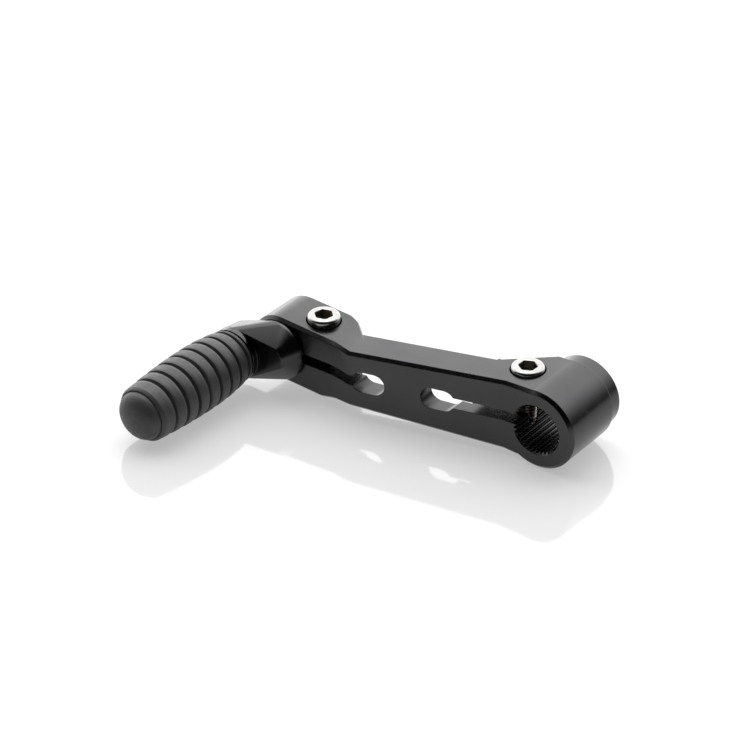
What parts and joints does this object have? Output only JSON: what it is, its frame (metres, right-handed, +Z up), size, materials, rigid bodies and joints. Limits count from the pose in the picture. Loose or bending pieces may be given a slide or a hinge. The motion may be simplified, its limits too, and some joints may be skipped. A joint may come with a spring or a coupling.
{
  "type": "motorcycle gear shift lever",
  "caption": "Black machined gear shift lever with a splined clamp hub, a slotted slim arm and a ribbed rubber toe peg on an eccentric clamped carrier.",
  "frame": {"origin": "where the hub's bore axis meets the hub's front face", "axes": "+Y along the bore towards the engine, the arm runs towards -X, +Z up"},
  "size_m": [0.1191, 0.0917, 0.0263],
  "materials": {
    "black_anodised": "satin black anodised",
    "stainless": "bright stainless",
    "pin_steel": "plain zinc plated",
    "peg_rubber": "matt moulded"
  },
  "bodies": {
    "lever": {"lever_arm": "black_anodised", "hub_clamp_screw": "stainless", "hub_clamp_insert": "stainless", "peg_clamp_screw": "stainless", "peg_clamp_insert": "stainless"},
    "peg": {"eccentric_carrier": "black_anodised", "peg_pin": "pin_steel", "peg_rubber": "peg_rubber"}
  },
  "joints": [
    {"name": "peg_adjust", "type": "hinge", "parent": "lever", "child": "peg", "pos_m": [-0.0854, 0, 0.001], "axis": [0, 1, 0], "continuous": true}
  ]
}
